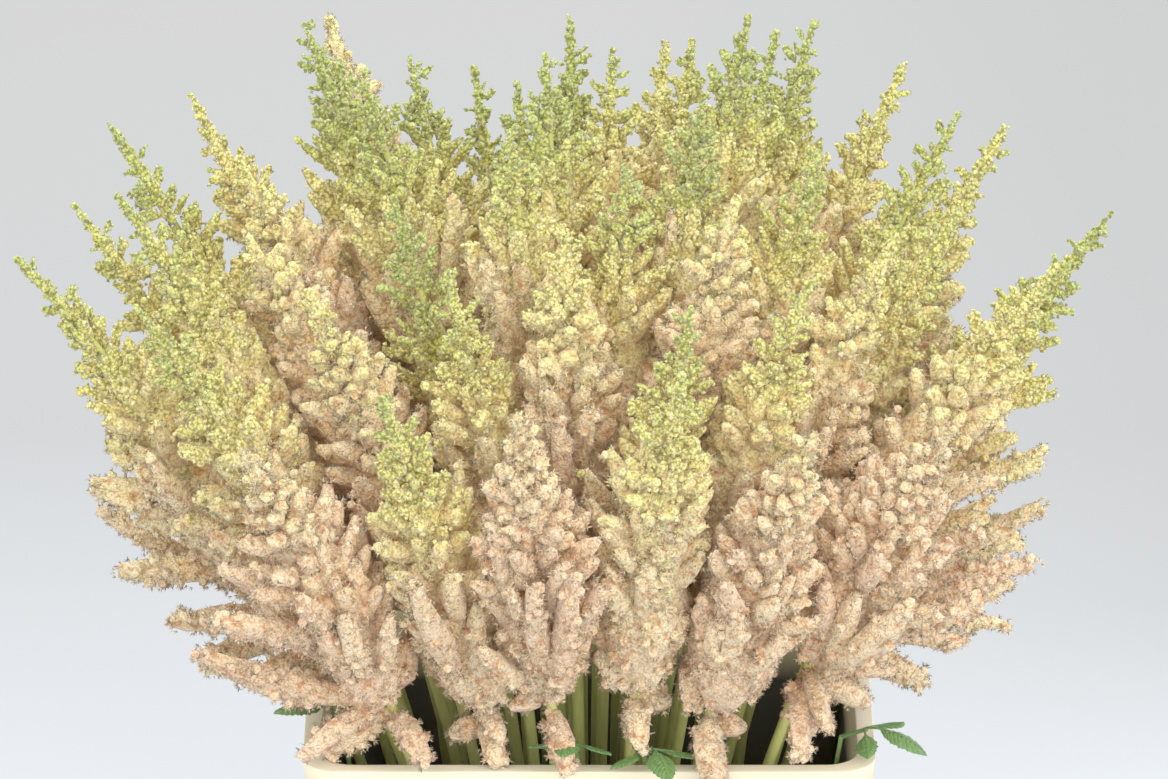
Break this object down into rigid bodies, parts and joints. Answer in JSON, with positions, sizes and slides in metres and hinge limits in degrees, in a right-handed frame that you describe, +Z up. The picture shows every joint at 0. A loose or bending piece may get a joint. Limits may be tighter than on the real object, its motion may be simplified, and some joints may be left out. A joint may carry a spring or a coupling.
{
  "type": "astilbe plant",
  "caption": "Tub full of cut astilbe: leaning plumes of cream and pale pink florets with green bud tips, in water in a plain rectangular tub.",
  "frame": {"origin": "middle of the tub's base, on the surface that it stands on", "axes": "+Z up, +X to the right and -Y to the front of the display, the tub's long side"},
  "size_m": [0.547, 0.3878, 0.57],
  "materials": {
    "tub_plastic": "moulded, faint sheen",
    "water": "clear",
    "foliage": "matt, hairy",
    "bloom_in_bud": "matt, beaded",
    "bloom_half_open": "matt, fluffy",
    "bloom_open": "matt, fluffy"
  },
  "bodies": {
    "root": {"flowering_stem_01": "bloom_open", "flowering_stem_02": "bloom_in_bud", "flowering_stem_03": "bloom_in_bud", "flowering_stem_04": "bloom_half_open", "flowering_stem_05": "bloom_in_bud", "flowering_stem_06": "bloom_half_open", "flowering_stem_07": "bloom_in_bud", "flowering_stem_08": "bloom_half_open", "flowering_stem_09": "bloom_in_bud", "flowering_stem_10": "bloom_in_bud", "flowering_stem_11": "bloom_in_bud", "flowering_stem_12": "bloom_half_open", "flowering_stem_13": "bloom_in_bud", "flowering_stem_14": "bloom_half_open", "flowering_stem_15": "bloom_half_open", "flowering_stem_16": "bloom_half_open", "flowering_stem_17": "bloom_in_bud", "flowering_stem_18": "bloom_in_bud", "flowering_stem_19": "bloom_half_open", "flowering_stem_20": "bloom_in_bud", "flowering_stem_21": "bloom_in_bud", "flowering_stem_22": "bloom_half_open", "flowering_stem_23": "bloom_half_open", "flowering_stem_24": "bloom_open", "flowering_stem_25": "bloom_in_bud", "flowering_stem_26": "bloom_half_open", "flowering_stem_27": "bloom_in_bud", "flowering_stem_28": "bloom_in_bud", "flowering_stem_29": "bloom_in_bud", "flowering_stem_30": "bloom_half_open", "flowering_stem_31": "bloom_in_bud", "flowering_stem_32": "bloom_half_open", "flowering_stem_33": "bloom_open", "flowering_stem_34": "bloom_half_open", "flowering_stem_35": "bloom_half_open", "flowering_stem_36": "bloom_open", "flowering_stem_37": "bloom_half_open", "flowering_stem_38": "bloom_half_open", "flowering_stem_39": "bloom_half_open", "flowering_stem_40": "bloom_half_open", "flowering_stem_41": "bloom_open", "flowering_stem_42": "bloom_half_open", "flowering_stem_43": "bloom_open", "flowering_stem_44": "bloom_half_open", "flowering_stem_45": "bloom_open", "flowering_stem_46": "bloom_open", "tub": "tub_plastic", "water": "water", "leaf_1": "foliage", "leaf_2": "foliage", "leaf_3": "foliage", "leaf_4": "foliage", "leaf_5": "foliage"}
  },
  "joints": []
}
